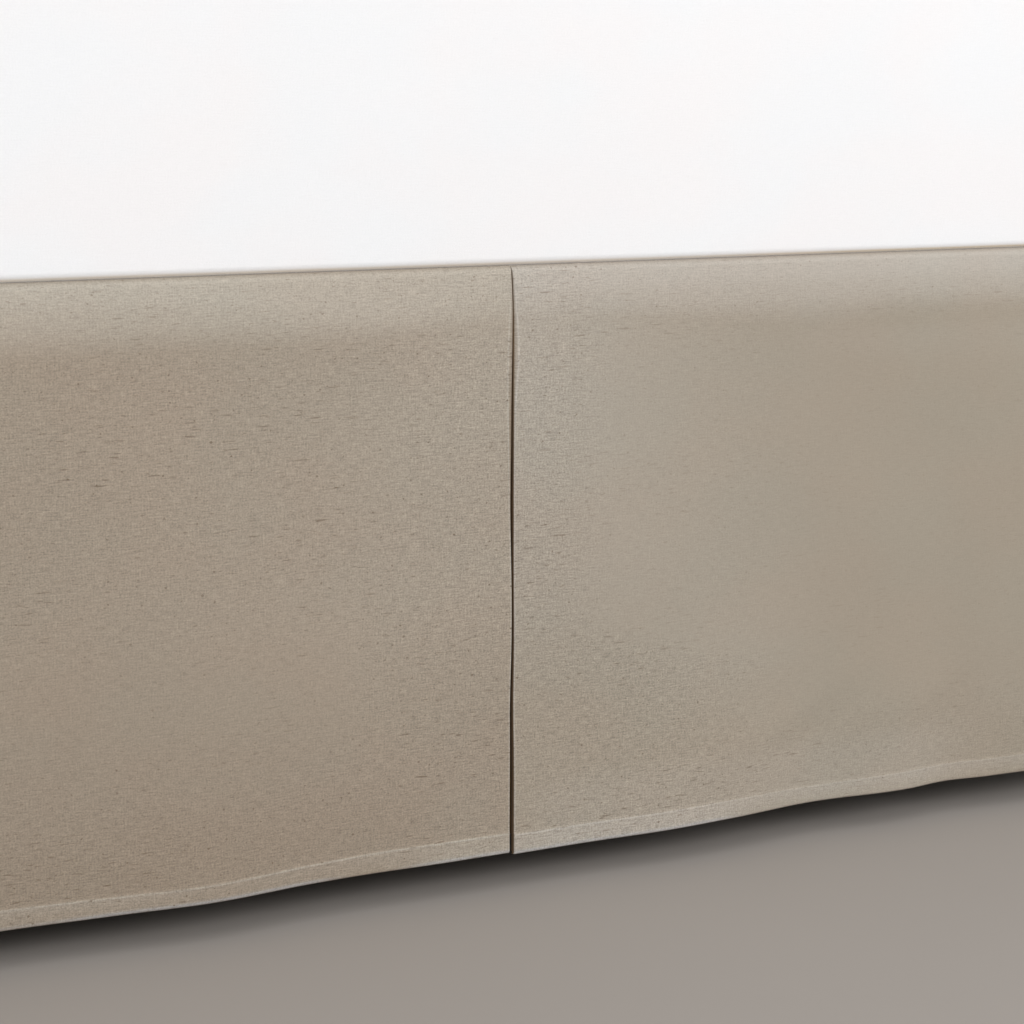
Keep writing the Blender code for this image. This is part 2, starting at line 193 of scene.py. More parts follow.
def weave_group():
    """A plain weave in its own UV metres: crossing threads under a soft uneven grain, with dashes along the
    weft, streaks up the warp, dark slubs of which the long ones lie in drifts, dark flecks, pale nubs, and
    a broad mottle of two tints. Where its paler ground is blended in, it is paler and greyer, in part as
    painted light and painted highlight; along the hem's fold a painted highlight turns it pale grey; where
    it is calm its grain is faint; and where painted shade is set it is darker and browner."""
    inputs = {"Cloth": "Vector"}
    inputs.update(dict.fromkeys(("Ground", "Rubbed Ground", "Dark", "Inner"), "Color"))
    inputs.update(dict.fromkeys(("Threads", "Uneven", "Slubs", "Mottle", "Base Roughness"), "Float"))
    inputs.update(dict.fromkeys(("Rubbed", "Bare", "Calm", "Inside"), "Float"))
    tree, given, made = new_group("plain_weave", inputs)
    cloth = given["Cloth"]

    def spots(grains, shift, low, high, detail=1.0):
        """Where noise of so many grains to the metre stands above low, and fully so above high."""
        return ramp(tree, noise(tree, cloth, grains, detail=detail, shift=shift), low, high)

    # The threads themselves: across where the two counts agree in sign, and along where they don't.
    counted = shader_node(tree, "SeparateXYZ", {0: scaled(tree, cloth, given["Threads"])})
    turned = [maths(tree, "MULTIPLY", counted.outputs[axis], math.pi) for axis in (0, 1)]
    waves = [maths(tree, "SINE", angle) for angle in turned]
    over = maths(tree, "GREATER_THAN", maths(tree, "MULTIPLY", *waves), 0.0)
    warp, weft = (maths(tree, "ABSOLUTE", wave) for wave in waves)
    crossing = shader_node(tree, "Mix", {0: over, 2: warp, 3: weft}, data_type="FLOAT").outputs[0]

    # The grain: soft blotches, dashes along the cloth and streaks up it, about level with 0 together.
    grain = noise(tree, cloth, (800.0, 960.0, 1.0), detail=1.0, shift=7.0)
    dash = noise(tree, cloth, (120.0, 1100.0, 1.0), detail=1.0, shift=3.0)
    streak = noise(tree, cloth, (1100.0, 150.0, 1.0), detail=1.0, shift=5.0)
    parts = maths(tree, "MULTIPLY_ADD", streak, 0.60, maths(tree, "MULTIPLY", dash, 0.80))
    uneven = maths(tree, "SUBTRACT", maths(tree, "MULTIPLY_ADD", grain, 1.10, parts), 1.25)
    lively = maths(tree, "SUBTRACT", 1.0, given["Calm"])
    amount = maths(tree, "MULTIPLY", lively, given["Uneven"])
    tone = maths(tree, "MULTIPLY_ADD", uneven, amount, 1.0)

    # Slubs lie along the weft, long ones in drifts and short ones all over; flecks and nubs are round.
    drift = spots((10.0, 19.0, 1.0), 11.0, 0.42, 0.64, detail=2.0)
    long_slub = spots((85.0, 620.0, 1.0), 17.0, 0.62, 0.76)
    long_slub = maths(tree, "MULTIPLY", long_slub, maths(tree, "MULTIPLY_ADD", drift, 0.85, 0.15))
    short_slub = spots((230.0, 560.0, 1.0), 19.0, 0.655, 0.78)
    fleck = spots((390.0, 430.0, 1.0), 23.0, 0.76, 0.86, detail=0.0)
    darkened = maths(tree, "MULTIPLY_ADD", short_slub, 0.75, maths(tree, "ADD", long_slub, fleck))
    slubbed = maths(tree, "MULTIPLY", lively, given["Slubs"])
    darkened = maths(tree, "MULTIPLY", darkened, slubbed, clamp=True)
    nub = spots((300.0, 330.0, 1.0), 29.0, 0.80, 0.90, detail=0.0)
    tone = maths(tree, "MULTIPLY_ADD", maths(tree, "MULTIPLY", nub, slubbed), 0.20, tone)

    # Broad unevenness: lighter and darker, and warmer and cooler.
    clouds = maths(tree, "SUBTRACT", noise(tree, cloth, (6.0, 8.0, 1.0), detail=3.0, shift=31.0), 0.5)
    tone = maths(tree, "MULTIPLY_ADD", clouds, given["Mottle"], tone)
    tint = blend_colours(tree, spots((9.0, 12.0, 1.0), 37.0, 0.35, 0.65, detail=3.0), WARMER, COOLER)
    # The paler ground stands in part for painted light and painted highlight, and in part for paler cloth.
    fresh, faded = given["Ground"], given["Rubbed Ground"]
    ground = blend_colours(tree, given["Rubbed"], fresh, faded)
    # A painted highlight along the hem's fold, pale grey.
    ground = blend_colours(tree, given["Bare"], ground, BARE_YARN)
    ground = shader_node(tree, "VectorMath", {0: ground, 1: tint}, operation="MULTIPLY").outputs[0]
    colour = blend_colours(tree, darkened, scaled(tree, ground, tone), given["Dark"])
    # Painted shade: darker and browner where the share inside is set.
    colour = blend_colours(tree, given["Inside"], colour, given["Inner"])

    height = maths(tree, "MULTIPLY_ADD", uneven, 0.8, maths(tree, "MULTIPLY", crossing, 0.25))
    height = maths(tree, "MULTIPLY_ADD", darkened, 0.4, height)
    tree.links.new(colour, made.inputs["Colour"])
    tree.links.new(maths(tree, "MULTIPLY", height, lively), made.inputs["Height"])
    rough = maths(tree, "MULTIPLY_ADD", uneven, 0.08, given["Base Roughness"])
    tree.links.new(rough, made.inputs["Roughness"])
    return tree


WEAVE = weave_group()


CLOTH_ROUGHNESS = 0.88
UNRUBBED = (1.0, 1.0, 1.0)
IN_A_FOLD = (0.80, 0.59, 0.28)  # the painted shade's colour, as a ratio to the dark yarn's colour


def woven_material(
    name, ground, dark, threads, uneven, slubs, mottle, bump, rubbed=UNRUBBED, **constants
):
    """A woven cloth: its ground and its dark yarn, threads to the metre, how uneven, slubbed and mottled it
    is, how high its grain stands, and the ratio of its paler ground to its ground. The piece's attributes
    say where it is paler, in part as painted light and painted highlight, where a painted highlight runs
    along the hem's fold, where its grain is calm, and where painted shade darkens it."""
    material, tree, shader = new_material(name, CLOTH_ROUGHNESS, **constants)
    paler = tuple(part * ratio for part, ratio in zip(ground, rubbed))
    # deeper is the colour of painted shade.
    deeper = tuple(part * ratio for part, ratio in zip(dark, IN_A_FOLD))
    colours = {"Ground": ground, "Rubbed Ground": paler, "Dark": dark, "Inner": deeper}
    values = {socket: (*colour, 1.0) for socket, colour in colours.items()}
    values.update({"Threads": threads, "Uneven": uneven, "Slubs": slubs, "Mottle": mottle})
    values["Base Roughness"] = CLOTH_ROUGHNESS
    values["Cloth"] = shader_node(tree, "UVMap", (), uv_map="cloth").outputs["UV"]
    for mark in ("Rubbed", "Bare", "Calm", "Inside"):
        values[mark] = shader_node(tree, "Attribute", (), attribute_name=mark.lower()).outputs["Fac"]
    finish_with(tree, shader, WEAVE, values, bump)
    return material


def new_piece(name, points, face_blocks, uv, material, slot, **marks):
    """Makes a piece from its points, its faces (blocks of faces with equally many corners) and a UV in
    metres for each corner of each face. Points that no face uses are left out. marks are attributes of the
    piece, with a value for each point."""
    mesh = bpy.data.meshes.new(name)
    corners = np.concatenate([block.ravel() for block in face_blocks])
    used, renumbered = np.unique(corners, return_inverse=True)
    faces = []
    for block in face_blocks:
        faces += renumbered[:block.size].reshape(block.shape).tolist()
        renumbered = renumbered[block.size:]
    mesh.from_pydata(points.reshape(-1, 3)[used].tolist(), [], faces)
    mesh.uv_layers.new(name="cloth").data.foreach_set("uv", uv.astype(np.float32).ravel())
    mesh.polygons.foreach_set("use_smooth", np.ones(len(faces), bool))
    for mark, values in marks.items():
        spread = np.broadcast_to(values, points.shape[:-1]).ravel()[used]
        mesh.attributes.new(mark, "FLOAT", "POINT").data.foreach_set("value", spread.astype(np.float32))
    mesh.materials.append(material)
    piece = bpy.data.objects.new(name, mesh)
    bpy.context.scene.collection.objects.link(piece)
    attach(piece, "root")
    return piece


def rounded_outline(half_length, half_width, corner, straight, bend):
    """Points around a rounded rectangle as a core that shrinks and a direction that its rounding follows:
    each quarter is a straight side and then a corner, and the last point repeats the first."""
    core_x, core_y, angle = [], [], []
    reach_x, reach_y = half_length - corner, half_width - corner
    ends = ((-1, -1), (1, -1), (1, 1), (-1, 1))
    for quarter, (sign_x, sign_y) in enumerate(ends):
        next_x, next_y = ends[(quarter + 1) % 4]
        steps = np.linspace(0, 1, straight[quarter % 2], endpoint=False)
        core_x.append(reach_x * (sign_x + (next_x - sign_x) * steps))
        core_y.append(reach_y * (sign_y + (next_y - sign_y) * steps))
        angle.append(np.full(len(steps), (quarter - 1) * math.pi / 2))
        turns = np.linspace(0, 1, bend, endpoint=False)
        core_x.append(np.full(bend, reach_x * next_x))
        core_y.append(np.full(bend, reach_y * next_y))
        angle.append((quarter - 1 + turns) * math.pi / 2)
    core = np.stack([np.concatenate(core_x), np.concatenate(core_y)], 1)
    direction = np.stack([np.cos(np.concatenate(angle)), np.sin(np.concatenate(angle))], 1)
    return np.concatenate([core, core[:1]]), np.concatenate([direction, direction[:1]])


def distance_along(*coordinates):
    """How far each point of a path lies from its first one, measured along the path."""
    return np.concatenate([[0.0], np.cumsum(np.hypot(*(np.diff(values) for values in coordinates)))])


# How finely a block is divided: its straight sides, a corner's bend, a flat, a rounded edge, and its
# height.
Steps = namedtuple("Steps", "straight bend flat round_over upright")
FLAT_UV = 5.0  # how far the cloth on a block's flats is cut from the cloth on its side


def filled_block(name, low, high, corner, bottom_edge, top_edge, steps, relief, material, slot):
    """A filled, closed block. Its rings run from the middle of its underside, out and round the lower edge,
    up the side, round the upper edge and in to the middle of its top. Each ring is the outline's core,
    shrunk, plus its direction times the corner's radius. relief(plan, share, height, tilt) says how far a
    point is pushed outwards: plan is its place from the block's middle, share how far out its ring lies,
    height its height, and tilt how far it faces up."""
    straight, bend, flat, round_over, upright = steps
    half = (high - low) / 2
    core, direction = rounded_outline(half[0], half[1], corner, straight, bend)
    quarter = np.linspace(0, math.pi / 2, round_over + 1)
    shrink, inset, height, tilt = [], [], [], []

    def add(shrunk, inward, raised, turned):
        """Adds a run of rings: for each quantity, one value for each ring or one for them all."""
        for store, values in ((shrink, shrunk), (inset, inward), (height, raised), (tilt, turned)):
            store.append(np.broadcast_to(values, np.broadcast(shrunk, inward, raised, turned).shape))

    outwards = np.linspace(0, 1, flat, endpoint=False)[1:]
    add(outwards, bottom_edge, 0.0, -math.pi / 2)
    less_sine, less_cosine = 1 - np.sin(quarter), 1 - np.cos(quarter)
    add(1.0, bottom_edge * less_sine, bottom_edge * less_cosine, quarter - math.pi / 2)
    rise = np.linspace(bottom_edge, 2 * half[2] - top_edge, upright + 1)[1:-1]
    add(1.0, 0.0, rise, 0.0)
    add(1.0, top_edge * less_cosine, 2 * half[2] - top_edge * less_sine, quarter)
    add(outwards[::-1], top_edge, 2 * half[2], math.pi / 2)
    shrink, inset, height, tilt = (np.concatenate(values) for values in (shrink, inset, height, tilt))

    plan = shrink[:, None, None] * (core + direction * (corner - inset[:, None, None]))
    out = relief(plan, shrink[:, None], height[:, None], tilt[:, None])
    plan = plan + direction * (out * np.cos(tilt)[:, None])[:, :, None]
    up = low[2] + height[:, None] + out * np.sin(tilt)[:, None]
    middle = low[:2] + half[:2]
    rings, around = len(shrink), len(core)
    points = np.dstack([plan[:, :, 0] + middle[0], plan[:, :, 1] + middle[1], up])

    # The last column is the first one again, and a single point closes each end.
    grid = np.arange(rings * around).reshape(rings, around)
    grid[:, -1] = grid[:, 0]
    quads = np.stack([grid[:-1, :-1], grid[:-1, 1:], grid[1:, 1:], grid[1:, :-1]], -1)
    travelled = distance_along(*(core + corner * direction).T)
    climbed = distance_along(inset, height)
    side_uv = np.dstack(np.broadcast_arrays(travelled[None, :], climbed[:, None]))
    flat_uv = points[:, :, :2] + FLAT_UV
    on_side = (shrink[:-1] == 1.0) & (shrink[1:] == 1.0)
    corner_uv = []
    near, far = slice(0, -1), slice(1, None)
    for rows, columns in ((near, near), (near, far), (far, far), (far, near)):
        corner_uv.append(np.where(on_side[:, None, None], side_uv[rows, columns], flat_uv[rows, columns]))
    poles = np.array([[*middle, points[0, :, 2].mean()], [*middle, points[-1, :, 2].mean()]])
    total = rings * around
    bottom = np.stack([np.full(around - 1, total), grid[0, 1:], grid[0, :-1]], -1)
    top = np.stack([np.full(around - 1, total + 1), grid[-1, :-1], grid[-1, 1:]], -1)
    all_points = np.concatenate([points.reshape(-1, 3), poles])
    triangles = np.concatenate([bottom, top])
    quads_uv = np.stack(corner_uv, 2)
    uv = np.concatenate([quads_uv.reshape(-1, 2), all_points[triangles.ravel(), :2] + FLAT_UV])
    return new_piece(name, all_points, (quads.reshape(-1, 4), triangles), uv, material, slot)


def bell(distance, width):
    """1 at no distance, falling smoothly to about a third at one width."""
    return np.exp(-((distance / width) ** 2))


BOX_CORNER = 0.040
BOX_EDGE = 0.024
BOX_DEPTH = box_high[2] - box_low[2]
BOX_BAND, BOX_SWELL = -0.003, 0.0025  # the side band's place from the block's side, and how far it swells
BOX_WELT = 0.004  # how far the welt around each edge stands out
BOX_WELT_TILT, BOX_WELT_WIDTH = math.radians(20), 0.16
BOX_SLACK = 0.0006


def box_relief(plan, share, height, tilt):
    """The side band swells a little between its welts, and the welts run round both edges. Slow crossing
    waves make the cloth a little slack, except on the top, which stays flat for the deck."""
    x, y = plan[:, :, 0], plan[:, :, 1]
    band = BOX_BAND + BOX_SWELL * np.sin(math.pi * np.clip(height / BOX_DEPTH, 0, 1))
    welts = BOX_WELT * bell(np.abs(tilt) - BOX_WELT_TILT, BOX_WELT_WIDTH)
    slack = BOX_SLACK * np.sin(41 * x + 2 * np.sin(9 * y)) * np.sin(29 * y)
    return band + np.where(share == 1.0, welts, 0.0) + slack * (tilt < 0.3)


ticking = woven_material(
    "pale_ticking", (0.62, 0.595, 0.555), (0.42, 0.38, 0.33),
    threads=2000.0, uneven=0.25, slubs=0.20, mottle=0.06, bump=0.00015, Sheen_Weight=0.08,
)
box_spring = filled_block(
    "box_spring_cover", box_low, box_high, BOX_CORNER, BOX_EDGE, BOX_EDGE,
    Steps(straight=(120, 90), bend=10, flat=14, round_over=8, upright=22),
    box_relief, ticking, "box_spring_cloth",
)
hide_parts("box_spring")


# ---- The deck ------------------------------------------------------------------------------------
# One flat cotton sheet that lies on the box spring under the mattress. The skirt's panels are sewn to three
# of its edges, and its head edge is bare.

deck_low, deck_high = (np.array(corner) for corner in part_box("deck"))
DECK_CLOTH = 0.0016
DECK_UNEVEN = 0.0004  # how high its slow waves stand
DECK_STEPS = (120, 90)
CUT_EDGE = math.radians(50)  # a cloth's face that turns by more is a cut edge, and stays sharp


def grid_faces(rows, columns, keep=None):
    """The four corners of each cell of a grid, anticlockwise from its low corner, for the cells to keep."""
    grid = np.arange(rows * columns).reshape(rows, columns)
    quads = np.stack([grid[:-1, :-1], grid[:-1, 1:], grid[1:, 1:], grid[1:, :-1]], -1)
    return quads[np.ones(quads.shape[:2], bool) if keep is None else keep]


def thicken(piece, thickness):
    """Gives a cloth its thickness behind its face, and sharp cut edges."""
    solid = piece.modifiers.new("cloth", "SOLIDIFY")
    solid.thickness = thickness
    solid.offset = -1.0
    solid.use_even_offset = True
    bpy.context.view_layer.update()
    evaluated = piece.evaluated_get(bpy.context.evaluated_depsgraph_get())
    thick = bpy.data.meshes.new_from_object(evaluated)
    piece.modifiers.clear()
    piece.data = thick
    thick.set_sharp_from_angle(angle=CUT_EDGE)


def make_deck():
    """A grid over the deck's plan, a little uneven: two slow waves that cross."""
    x, y = np.meshgrid(*(np.linspace(*span) for span in zip(deck_low, deck_high, DECK_STEPS)))
    waves = np.sin(14 * x + 3 * np.sin(5 * y)) * np.sin(17 * y)
    z = deck_high[2] - DECK_CLOTH / 2 + DECK_UNEVEN * waves
    faces = grid_faces(*x.shape)
    uv = np.dstack([x, y]).reshape(-1, 2)[faces]
    return new_piece("deck_sheet", np.dstack([x, y, z]), (faces,), uv, deck_cotton, "deck_cotton")


deck_cotton = woven_material(
    "deck_cotton", (0.66, 0.63, 0.585), (0.45, 0.41, 0.36),
    threads=2200.0, uneven=0.25, slubs=0.25, mottle=0.05, bump=0.00012, Sheen_Weight=0.08,
)
deck = make_deck()
thicken(deck, DECK_CLOTH)
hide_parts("deck")


# ---- The underlays -------------------------------------------------------------------------------
# A narrow strip of the panels' linen behind each slit, sewn to the deck's edge with them, so that the box
# spring doesn't show where the two panels part.

CLOTH = 0.0010  # its thickness
LAYER = 0.0012  # the room that one layer of cloth takes
SPACE = 0.0003  # between the innermost layer and what it lies on
EDGE_CLEAR = 0.003  # how far the innermost layer hangs from the box spring's side
FOLD_GAP_TOP, FOLD_GAP_HEM = 0.0007, 0.0024  # between a panel and its turned-back edge
LAYERS = 3 * LAYER + SPACE + FOLD_GAP_TOP  # an underlay, a turned-back edge and a panel's face
SIDE_OUT = EDGE_CLEAR + LAYERS  # a panel's face, from the box spring's side
TOP_UP = SPACE + LAYERS
UNDERLAY_DEPTH = LAYERS - LAYER  # how deep it lies behind a panel's face
OPENING = FOLD_GAP_HEM - FOLD_GAP_TOP  # how much wider that gap is at the hem
LEAN = math.radians(9)  # how far the cloth leans in where it reaches the roll under the mattress
EASE_RADIUS = 0.220  # of the slow curve in which it starts to lean
ROLL_RADIUS = 0.006  # of the roll over the box spring's edge
ROLL_UP = TOP_UP - ROLL_RADIUS
EASE_UP = ROLL_UP - (EASE_RADIUS - ROLL_RADIUS) * math.sin(LEAN)
EASE_OUT = SIDE_OUT - EASE_RADIUS
ROLL_OUT = EASE_OUT + (EASE_RADIUS - ROLL_RADIUS) * math.cos(LEAN)
HEM_DEPTH = 0.0127
HEM_ROLL = 0.0016  # the radius of the hem's fold
HEM_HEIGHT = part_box("front_panel_left")[0].z
DROP = EASE_UP + BOX_TOP - HEM_HEIGHT - HEM_ROLL  # of the plumb part, down to the hem's fold
FLARE = 0.004  # how much further out the hem hangs than the top
SWAY_POWER = 1.6  # the slow folds grow with this power of the drop
DECK_INSET = 0.036  # how far in from the box spring's edge the deck ends
UNDERLAY_WIDTH = 0.150
UNDERLAY_LIFT = 0.011  # how much higher than the panels it ends
UNDERLAY_COLUMNS = 41
UNDERLAY_SHADE, UNDERLAY_CALM = 1.0, 0.4  # painted shade all over, since it lies in the slit's shadow, and its grain is fainter there
UNDERLAY_CUT_FROM = 1.0  # where along its bolt of cloth it was cut

# How many rows each run of a hanging cloth's profile has: of the turned-up hem and of its fold, and, times
# the fineness, of the drop near the hem, the rest of the drop, the slow curve, the roll, and the flat on
# the bed.
TURNED_ROWS, FOLD_ROWS = 3, 10
NEAR_HEM_ROWS, DROP_ROWS, EASE_ROWS, ROLL_ROWS, FLAT_ROWS = 32, 76, 12, 14, 10
NEAR_HEM = 0.020  # how high the run near the hem goes

# Where each side's cloth stands out or in at the hem. position: along the side from its middle; half_width:
# where the fold dies out; depth: how far it stands out, or in.
Fold = namedtuple("Fold", "position half_width depth")
FRONT_FOLDS = (
    Fold(-0.900, 0.100, -0.0040),
    Fold(-0.740, 0.100, 0.0050),
    Fold(-0.580, 0.090, -0.0045),
    Fold(-0.460, 0.080, 0.0045),
    Fold(-0.350, 0.090, -0.0048),
    Fold(-0.212, 0.070, 0.0048),
    Fold(-0.108, 0.068, -0.0019),
    Fold(0.124, 0.080, 0.0031),
    Fold(0.245, 0.070, -0.0052),
    Fold(0.360, 0.040, -0.0040),
    Fold(0.455, 0.065, 0.0030),
    Fold(0.600, 0.090, -0.0050),
    Fold(0.760, 0.100, 0.0050),
    Fold(0.900, 0.090, -0.0035),
)
BACK_FOLDS = (
    Fold(-0.880, 0.110, 0.0045),
    Fold(-0.700, 0.090, -0.0050),
    Fold(-0.540, 0.100, 0.0050),
    Fold(-0.370, 0.080, -0.0040),
    Fold(-0.230, 0.090, 0.0055),
    Fold(-0.090, 0.070, -0.0040),
    Fold(0.120, 0.090, 0.0050),
    Fold(0.290, 0.090, -0.0050),
    Fold(0.430, 0.080, 0.0040),
    Fold(0.600, 0.100, -0.0045),
    Fold(0.780, 0.100, 0.0050),
    Fold(0.920, 0.070, -0.0030),
)
FOOT_FOLDS = (
    Fold(-0.640, 0.090, 0.0040),
    Fold(-0.480, 0.090, -0.0050),
    Fold(-0.330, 0.080, 0.0050),
    Fold(-0.170, 0.080, -0.0045),
    Fold(0.110, 0.085, 0.0050),
    Fold(0.280, 0.090, -0.0050),
    Fold(0.430, 0.080, 0.0045),
    Fold(0.590, 0.085, -0.0040),
)

# A side of the bed: its folds, its distance from the bed's middle, half its length, its turn, and how
# finely its cloth is divided.
Side = namedtuple("Side", "name folds reach half_length turn fineness")
SIDES = (
    Side("front", FRONT_FOLDS, HALF_WIDTH, HALF_LENGTH, 0.0, 1.0),
    Side("back", BACK_FOLDS, HALF_WIDTH, HALF_LENGTH, math.pi, 0.55),
    Side("foot", FOOT_FOLDS, HALF_LENGTH, HALF_WIDTH, -math.pi / 2, 0.55),
)


def sway(folds, along, drop):
    """How far the hanging cloth stands out: its flare, and slow folds that grow down the drop, each a
    raised cosine."""
    out = 0.0
    for fold in folds:
        spread = np.clip((along - fold.position) / fold.half_width, -1, 1)
        out = out + fold.depth * (1 + np.cos(math.pi * spread)) / 2
    return FLARE * drop + out * drop**SWAY_POWER


# The profile of a hanging cloth, one value for each row from the top of its turned-up hem, down, round the
# fold, up the drop, over the box spring's edge and in under the mattress. out, up: from that edge; tilt:
# how far it faces up; drop: its share of the drop; depth: how deep it lies behind a panel's face; hem: how
# far round the hem's fold, from half a turn to 0; above: along the cloth from the fold's end.
Profile = namedtuple("Profile", "out up tilt drop depth hem above")


def hanging_profile(layer, lift, reach, fineness):
    """Joins the profile's runs: a flat turned-up hem, a half circle, a plumb drop, a slow curve, a tight
    roll and a flat. layer is how deep it lies behind a panel's face, lift how much higher it ends, reach
    how far its flat runs in from the box spring's edge, and fineness how finely it is divided."""
    end = 1 - lift / DROP
    fold_up = EASE_UP - end * DROP
    runs = []

    def add(out, up, tilt, drop=0.0, depth=0.0, hem=0.0):
        """Adds a run of rows: for each quantity, one value for each row or one for them all."""
        run = (np.atleast_1d(value) for value in (out, up, tilt, drop, depth, hem))
        runs.append(np.broadcast_arrays(*run))

    turned = np.linspace(fold_up - HEM_ROLL + HEM_DEPTH, fold_up, TURNED_ROWS + 1)[:-1]
    add(SIDE_OUT, turned, 0.0, end, 2 * HEM_ROLL, math.pi)
    round_hem = np.linspace(math.pi, 0, FOLD_ROWS + 1)[:-1]
    under, behind = HEM_ROLL * np.sin(round_hem), HEM_ROLL * (1 - np.cos(round_hem))
    add(SIDE_OUT, fold_up - under, 0.0, end, behind, round_hem)
    near_hem = np.linspace(0, NEAR_HEM, round(NEAR_HEM_ROWS * fineness))[:-1]
    above = np.linspace(NEAR_HEM, end * DROP, round(DROP_ROWS * fineness))[:-1]
    raised = np.concatenate([near_hem, above])
    add(SIDE_OUT, fold_up + raised, 0.0, end - raised / DROP)
    leaning = np.linspace(0, LEAN, round(EASE_ROWS * fineness) + 1)[:-1]
    add(EASE_OUT + EASE_RADIUS * np.cos(leaning), EASE_UP + EASE_RADIUS * np.sin(leaning), leaning)
    rolling = np.linspace(LEAN, math.pi / 2, round(ROLL_ROWS * fineness) + 1)
    add(ROLL_OUT + ROLL_RADIUS * np.cos(rolling), ROLL_UP + ROLL_RADIUS * np.sin(rolling), rolling)
    inwards = np.linspace(-ROLL_OUT, reach, round(FLAT_ROWS * fineness) + 2)[1:]
    add(-inwards, TOP_UP, math.pi / 2)
    out, up, tilt, drop, depth, hem = (np.concatenate(values)[:, None] for values in zip(*runs))
    length = distance_along((out - depth)[:, 0], up[:, 0])[:, None]
    fold_end = length[np.argmax(hem[:, 0] == 0.0), 0]
    return Profile(out, up, tilt, drop, depth + layer, hem, length - fold_end)


def on_side(side, rows, along, depth):
    """Where each point of a side's cloth lies, as rows and columns: out by the profile and the sway, and
    back in by its depth, then turned to the side of the bed that it hangs on."""
    out = rows.out + sway(side.folds, along, rows.drop) + OPENING * rows.drop
    depth = depth + rows.depth
    out = out - depth * np.cos(rows.tilt)
    up = BOX_TOP + rows.up - depth * np.sin(rows.tilt)
    away = -(side.reach + out)
    x = along * math.cos(side.turn) - away * math.sin(side.turn)
    y = along * math.sin(side.turn) + away * math.cos(side.turn)
    return np.dstack(np.broadcast_arrays(BED_CENTRE[0] + x, BED_CENTRE[1] + y, up))


LINEN = {"threads": 1750.0, "uneven": 0.80, "slubs": 0.80, "mottle": 0.10, "bump": 0.00020}
LINEN.update({"Sheen_Weight": 0.12, "Sheen_Roughness": 0.5})
linen_left = woven_material(
    "greige_linen", (0.316, 0.262, 0.204), (0.150, 0.108, 0.072), rubbed=(1.32, 1.43, 1.55), **LINEN,
)


def make_underlay(side):
    """A strip of even width whose profile lies inside the panels'."""
    rows = hanging_profile(UNDERLAY_DEPTH, UNDERLAY_LIFT, DECK_INSET - SPACE, side.fineness)
    along = np.linspace(-UNDERLAY_WIDTH / 2, UNDERLAY_WIDTH / 2, UNDERLAY_COLUMNS)[None, :]
    points = on_side(side, rows, along, OPENING * rows.drop)
    uv = np.dstack(np.broadcast_arrays(along + UNDERLAY_CUT_FROM, rows.above))
    faces = grid_faces(*points.shape[:2])
    piece = new_piece(
        f"{side.name}_underlay_cloth", points, (faces,), uv.reshape(-1, 2)[faces], linen_left, "linen",
        inside=UNDERLAY_SHADE, calm=UNDERLAY_CALM,
    )
    thicken(piece, CLOTH)
    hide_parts(f"{side.name}_underlay")


for side in SIDES:
    make_underlay(side)


# ---- The panels ----------------------------------------------------------------------------------
# Two to a side, cut from greige linen-look cloth. The sides are turned back and pressed, the bottom is
# turned up in a narrow hem, and the top runs over the box spring's edge to the deck, where it is sewn.

RETURN = 0.050  # how much is turned back at each end
FLANGE_REACH = 0.060  # how far a panel runs in under the mattress
CLOSED_AT = math.radians(68)  # how far over the roll the two panels meet
STILL_OPEN = 0.02  # the share of a slit's width that is left from there on
MITRE_GAP = 0.0005  # how far each end stops short of a foot corner's mitre
QUARTER_TURN = 1.6  # and a little more: what has turned further lies behind the face
NEARLY_LEVEL = 1.5  # what has tilted further lies flat
RIGHT_HANGS_LOWER = 0.0015  # how much lower each right panel hangs, where it meets the left one
HANG_WIDTH = 0.16  # how far from there that dies out
CUT_FROM, CUT_STEP = 3.0, 3.7  # where along the bolt a left panel was cut, and how much further a right one
SIDE_STEP = 2.0  # how much further for each radian that its side is turned by

# A soft mark in the cloth's face. along, above: its middle, from the side's middle and up from the hem's
# fold; lean: how far it leans from level, in degrees; length, width: to where it fades; height: how far
# out.
Mark = namedtuple("Mark", "along above lean length width height")
FRONT_MARKS = (
    Mark(-0.088, 0.319, 72, 0.018, 0.0016, 0.00035),
    Mark(0.150, 0.040, 24, 0.060, 0.010, 0.0007),
    Mark(0.205, 0.052, 28, 0.070, 0.011, 0.0008),
    Mark(0.268, 0.048, 26, 0.060, 0.010, 0.0007),
    Mark(0.330, 0.060, 30, 0.060, 0.010, 0.0006),
    Mark(-0.270, 0.030, -20, 0.040, 0.008, 0.0005),
    Mark(-0.620, 0.120, 35, 0.080, 0.012, 0.0007),
    Mark(0.700, 0.090, -32, 0.080, 0.012, 0.0007),
)
BACK_MARKS = (
    Mark(-0.500, 0.060, 25, 0.070, 0.011, 0.0007),
    Mark(-0.180, 0.100, -30, 0.070, 0.011, 0.0006),
    Mark(0.240, 0.050, 24, 0.070, 0.011, 0.0008),
    Mark(0.640, 0.110, -28, 0.080, 0.012, 0.0007),
)
FOOT_MARKS = (
    Mark(-0.420, 0.070, 26, 0.070, 0.011, 0.0007),
    Mark(0.180, 0.050, -24, 0.060, 0.010, 0.0007),
    Mark(0.460, 0.100, 30, 0.070, 0.011, 0.0006),
)
MARKS = {"front": FRONT_MARKS, "back": BACK_MARKS, "foot": FOOT_MARKS}


HEM_SHORTFALL = 0.0012  # how far below the hem's full depth its line runs
HEM_STEP, HEM_STEP_WIDTH = 0.00035, 0.0006  # how far the hem's second layer lifts the face
HEM_RIDGE, HEM_RIDGE_WIDTH = 0.00030, 0.0011
RETURN_RIDGE, RETURN_RIDGE_WIDTH = 0.00022, 0.0022  # over the raw edge of what is turned back
PRESSED_RIDGE, PRESSED_RIDGE_WIDTH = 0.00018, 0.0009
RIDGES_FROM = 0.03  # the height by which the upright ridges have their full strength


